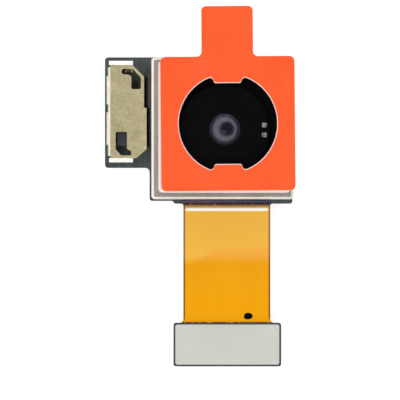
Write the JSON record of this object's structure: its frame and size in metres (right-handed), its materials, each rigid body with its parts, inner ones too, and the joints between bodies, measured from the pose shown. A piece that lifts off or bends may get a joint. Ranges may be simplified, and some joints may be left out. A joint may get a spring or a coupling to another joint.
{
  "type": "phone camera module",
  "caption": "Rear camera module of a phone: square shielded lens actuator with autofocus and image steadying, side wing with driver chips, and a flexible tail to a board connector.",
  "frame": {"origin": "where the lens's optical axis meets the rear face of the plate behind the main board", "axes": "+Z along the optical axis towards the lens, +Y away from the connector, +X to the right seen from the lens side with the connector at the bottom"},
  "size_m": [0.0154, 0.0293, 0.0058],
  "materials": {
    "rear_steel": "satin",
    "board": "satin",
    "silicon": "polished",
    "capacitor": "matte",
    "black_moulding": "matte",
    "filter_glass": "polished",
    "flex_circuit": "satin",
    "copper": "satin",
    "chip": "matte",
    "chip_blue": "satin",
    "steel": "satin",
    "can_steel": "satin",
    "black_sealant": "matte",
    "white_adhesive": "matte",
    "orange_film": "satin",
    "gold_shield": "satin",
    "solder": "satin",
    "polyimide": "satin",
    "violet_bead": "gloss",
    "plug_steel": "satin",
    "gold": "polished",
    "ceramic_ball": "polished",
    "magnet": "satin",
    "grey_moulding": "matte",
    "black_barrel": "satin",
    "black_foil": "matte",
    "lens": "polished"
  },
  "bodies": {
    "root": {"rear_plate": "rear_steel", "main_board": "board", "image_sensor": "silicon", "board_capacitors": "capacitor", "filter_holder": "black_moulding", "infrared_filter": "filter_glass", "actuator_housing": "black_moulding", "coil_circuit": "flex_circuit", "focus_coil": "copper", "x_coil": "copper", "y_coil": "copper", "position_sensors": "chip", "preload_plates": "steel", "shield_can": "can_steel", "terminal_seal": "black_sealant", "adhesive_gasket": "white_adhesive", "release_film": "orange_film", "driver_shield": "gold_shield", "shield_solder": "solder", "driver_chip": "silicon", "memory_chip": "chip_blue", "gyro_chip": "chip", "driver_capacitors": "capacitor", "flex_tail": "polyimide", "tail_seal": "violet_bead", "plug_board": "board", "plug_plate": "plug_steel", "plug_housing": "black_moulding", "plug_contacts": "gold", "plug_fittings": "gold"},
    "focus_balls": {"focus_balls": "ceramic_ball"},
    "focus_carriage": {"focus_carriage": "black_moulding", "focus_magnet": "magnet", "focus_yoke": "steel", "stopper_plate": "black_moulding"},
    "x_balls": {"x_balls": "ceramic_ball"},
    "x_frame": {"x_frame": "grey_moulding"},
    "y_balls": {"y_balls": "ceramic_ball"},
    "lens": {"lens_holder": "black_moulding", "x_magnet": "magnet", "y_magnet": "magnet", "lens_barrel": "black_barrel", "lens_spacers": "black_foil", "lens_retainer": "black_moulding", "lens_1": "lens", "lens_2": "lens", "lens_3": "lens", "lens_4": "lens", "lens_5": "lens", "lens_6": "lens"}
  },
  "joints": [
    {"name": "focus", "type": "slide", "parent": "root", "child": "focus_carriage", "axis": [0, 0, 1], "range_m": [0, 0.00035]},
    {"name": "steady_x", "type": "slide", "parent": "focus_carriage", "child": "x_frame", "axis": [1, 0, 0], "range_m": [-0.00012, 0.00012], "stiffness_N_per_m": 30},
    {"name": "steady_y", "type": "slide", "parent": "x_frame", "child": "lens", "axis": [0, 1, 0], "range_m": [-0.00012, 0.00012], "stiffness_N_per_m": 30},
    {"name": "focus_roll", "type": "slide", "parent": "root", "child": "focus_balls", "axis": [0, 0, 1], "range_m": [0, 0.000175]},
    {"name": "x_roll", "type": "slide", "parent": "focus_carriage", "child": "x_balls", "axis": [1, 0, 0], "range_m": [-0.00006, 0.00006]},
    {"name": "y_roll", "type": "slide", "parent": "x_frame", "child": "y_balls", "axis": [0, 1, 0], "range_m": [-0.00006, 0.00006]}
  ],
  "couplings": [
    {"joint": "focus_roll", "follows": "focus", "ratio": 0.5},
    {"joint": "x_roll", "follows": "steady_x", "ratio": 0.5},
    {"joint": "y_roll", "follows": "steady_y", "ratio": 0.5}
  ]
}
